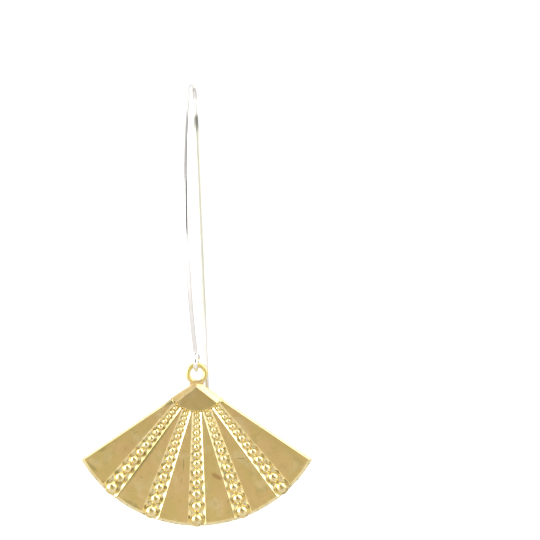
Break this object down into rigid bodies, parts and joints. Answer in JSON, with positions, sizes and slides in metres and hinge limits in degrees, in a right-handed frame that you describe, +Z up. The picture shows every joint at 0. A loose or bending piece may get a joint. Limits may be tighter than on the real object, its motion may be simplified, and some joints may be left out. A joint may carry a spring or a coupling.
{
  "type": "fan drop earring",
  "caption": "Drop earring: a stamped brass open fan with sunk channels of graduated beads, hanging by its ring from a long silver wire hook.",
  "frame": {"origin": "inside of the hook's top bend, where the earring hangs in the ear", "axes": "+Z up, +X to the right of the fan's face, +Y to the back, where the hook's free leg is"},
  "size_m": [0.0366, 0.0172, 0.0702],
  "materials": {
    "silver_wire": "polished silver wire",
    "stamped_brass": "satin raw brass, lightly tarnished"
  },
  "bodies": {
    "hook": {"ear_wire": "silver_wire"},
    "fan": {"fan_drop": "stamped_brass"}
  },
  "joints": [
    {"name": "fan_swing", "type": "hinge", "parent": "hook", "child": "fan", "pos_m": [0.0007, 0, -0.04521], "axis": [0, 1, 0], "range_deg": [-130, 130]}
  ]
}
